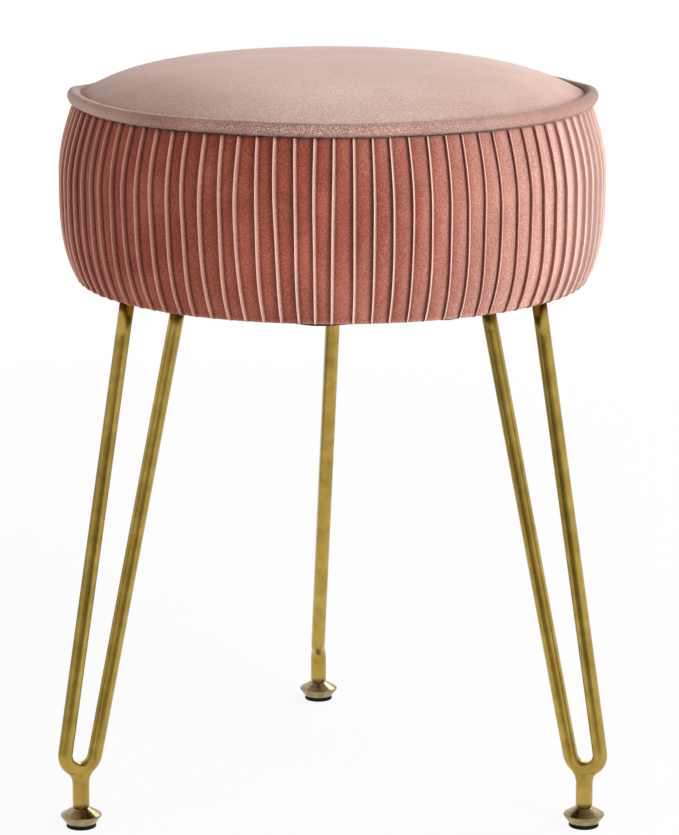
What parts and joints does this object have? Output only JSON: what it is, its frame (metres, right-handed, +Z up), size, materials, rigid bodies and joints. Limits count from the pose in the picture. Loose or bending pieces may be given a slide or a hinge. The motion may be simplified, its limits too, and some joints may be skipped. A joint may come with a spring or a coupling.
{
  "type": "vanity stool",
  "caption": "Round stool with a crowned velvet drum seat, piped edge and pin-tucked side, on hairpin rod legs with screw-adjusted disc feet.",
  "frame": {"origin": "on the floor plane, on the vertical axis of the round seat", "axes": "+Z up along the seat's axis; +Y towards the back leg; the two front legs stand at 210 and 330 degrees from +X, so -Y is the front"},
  "size_m": [0.3358, 0.3607, 0.46],
  "materials": {
    "velvet": "matte",
    "plywood": "matte",
    "foam": "matte",
    "wadding": "matte",
    "cord_filler": "matte",
    "black_fleece": "matte",
    "zinc_plate": "satin",
    "gold_lacquer": "satin",
    "antique_brass": "polished",
    "black_rubber": "matte"
  },
  "bodies": {
    "stool": {"seat_board": "plywood", "tee_nuts": "zinc_plate", "foam_core": "foam", "side_wadding": "wadding", "crown_pad": "foam", "top_cover": "velvet", "side_band": "velvet", "piping_cord": "cord_filler", "piping_cover": "velvet", "dust_cover": "black_fleece", "staples": "zinc_plate", "leg_plate_left": "gold_lacquer", "leg_bolts_left": "zinc_plate", "leg_washers_left": "zinc_plate", "hairpin_left": "gold_lacquer", "foot_socket_left": "gold_lacquer", "leg_plate_right": "gold_lacquer", "leg_bolts_right": "zinc_plate", "leg_washers_right": "zinc_plate", "hairpin_right": "gold_lacquer", "foot_socket_right": "gold_lacquer", "leg_plate_back": "gold_lacquer", "leg_bolts_back": "zinc_plate", "leg_washers_back": "zinc_plate", "hairpin_back": "gold_lacquer", "foot_socket_back": "gold_lacquer"},
    "pad_left": {"foot_pad_left": "black_rubber"},
    "screw_left": {"foot_disc_left": "antique_brass", "foot_stud_left": "zinc_plate"},
    "pad_right": {"foot_pad_right": "black_rubber"},
    "screw_right": {"foot_disc_right": "antique_brass", "foot_stud_right": "zinc_plate"},
    "pad_back": {"foot_pad_back": "black_rubber"},
    "screw_back": {"foot_disc_back": "antique_brass", "foot_stud_back": "zinc_plate"}
  },
  "joints": [
    {"name": "foot_travel_left", "type": "slide", "parent": "stool", "child": "pad_left", "axis": [0, 0, -1], "range_m": [0, 0.008]},
    {"name": "foot_screw_left", "type": "hinge", "parent": "pad_left", "child": "screw_left", "pos_m": [-0.15415, -0.089, 0.0074], "axis": [0, 0, -1], "range_deg": [0, 2880]},
    {"name": "foot_travel_right", "type": "slide", "parent": "stool", "child": "pad_right", "axis": [0, 0, -1], "range_m": [0, 0.008]},
    {"name": "foot_screw_right", "type": "hinge", "parent": "pad_right", "child": "screw_right", "pos_m": [0.15415, -0.089, 0.0074], "axis": [0, 0, -1], "range_deg": [0, 2880]},
    {"name": "foot_travel_back", "type": "slide", "parent": "stool", "child": "pad_back", "axis": [0, 0, -1], "range_m": [0, 0.008]},
    {"name": "foot_screw_back", "type": "hinge", "parent": "pad_back", "child": "screw_back", "pos_m": [-0.00788, 0.178, 0.0074], "axis": [0, 0, -1], "range_deg": [0, 2880]}
  ],
  "couplings": [
    {"joint": "foot_travel_left", "follows": "foot_screw_left", "m_per_rad": 0.00015915},
    {"joint": "foot_travel_right", "follows": "foot_screw_right", "m_per_rad": 0.00015915},
    {"joint": "foot_travel_back", "follows": "foot_screw_back", "m_per_rad": 0.00015915}
  ]
}
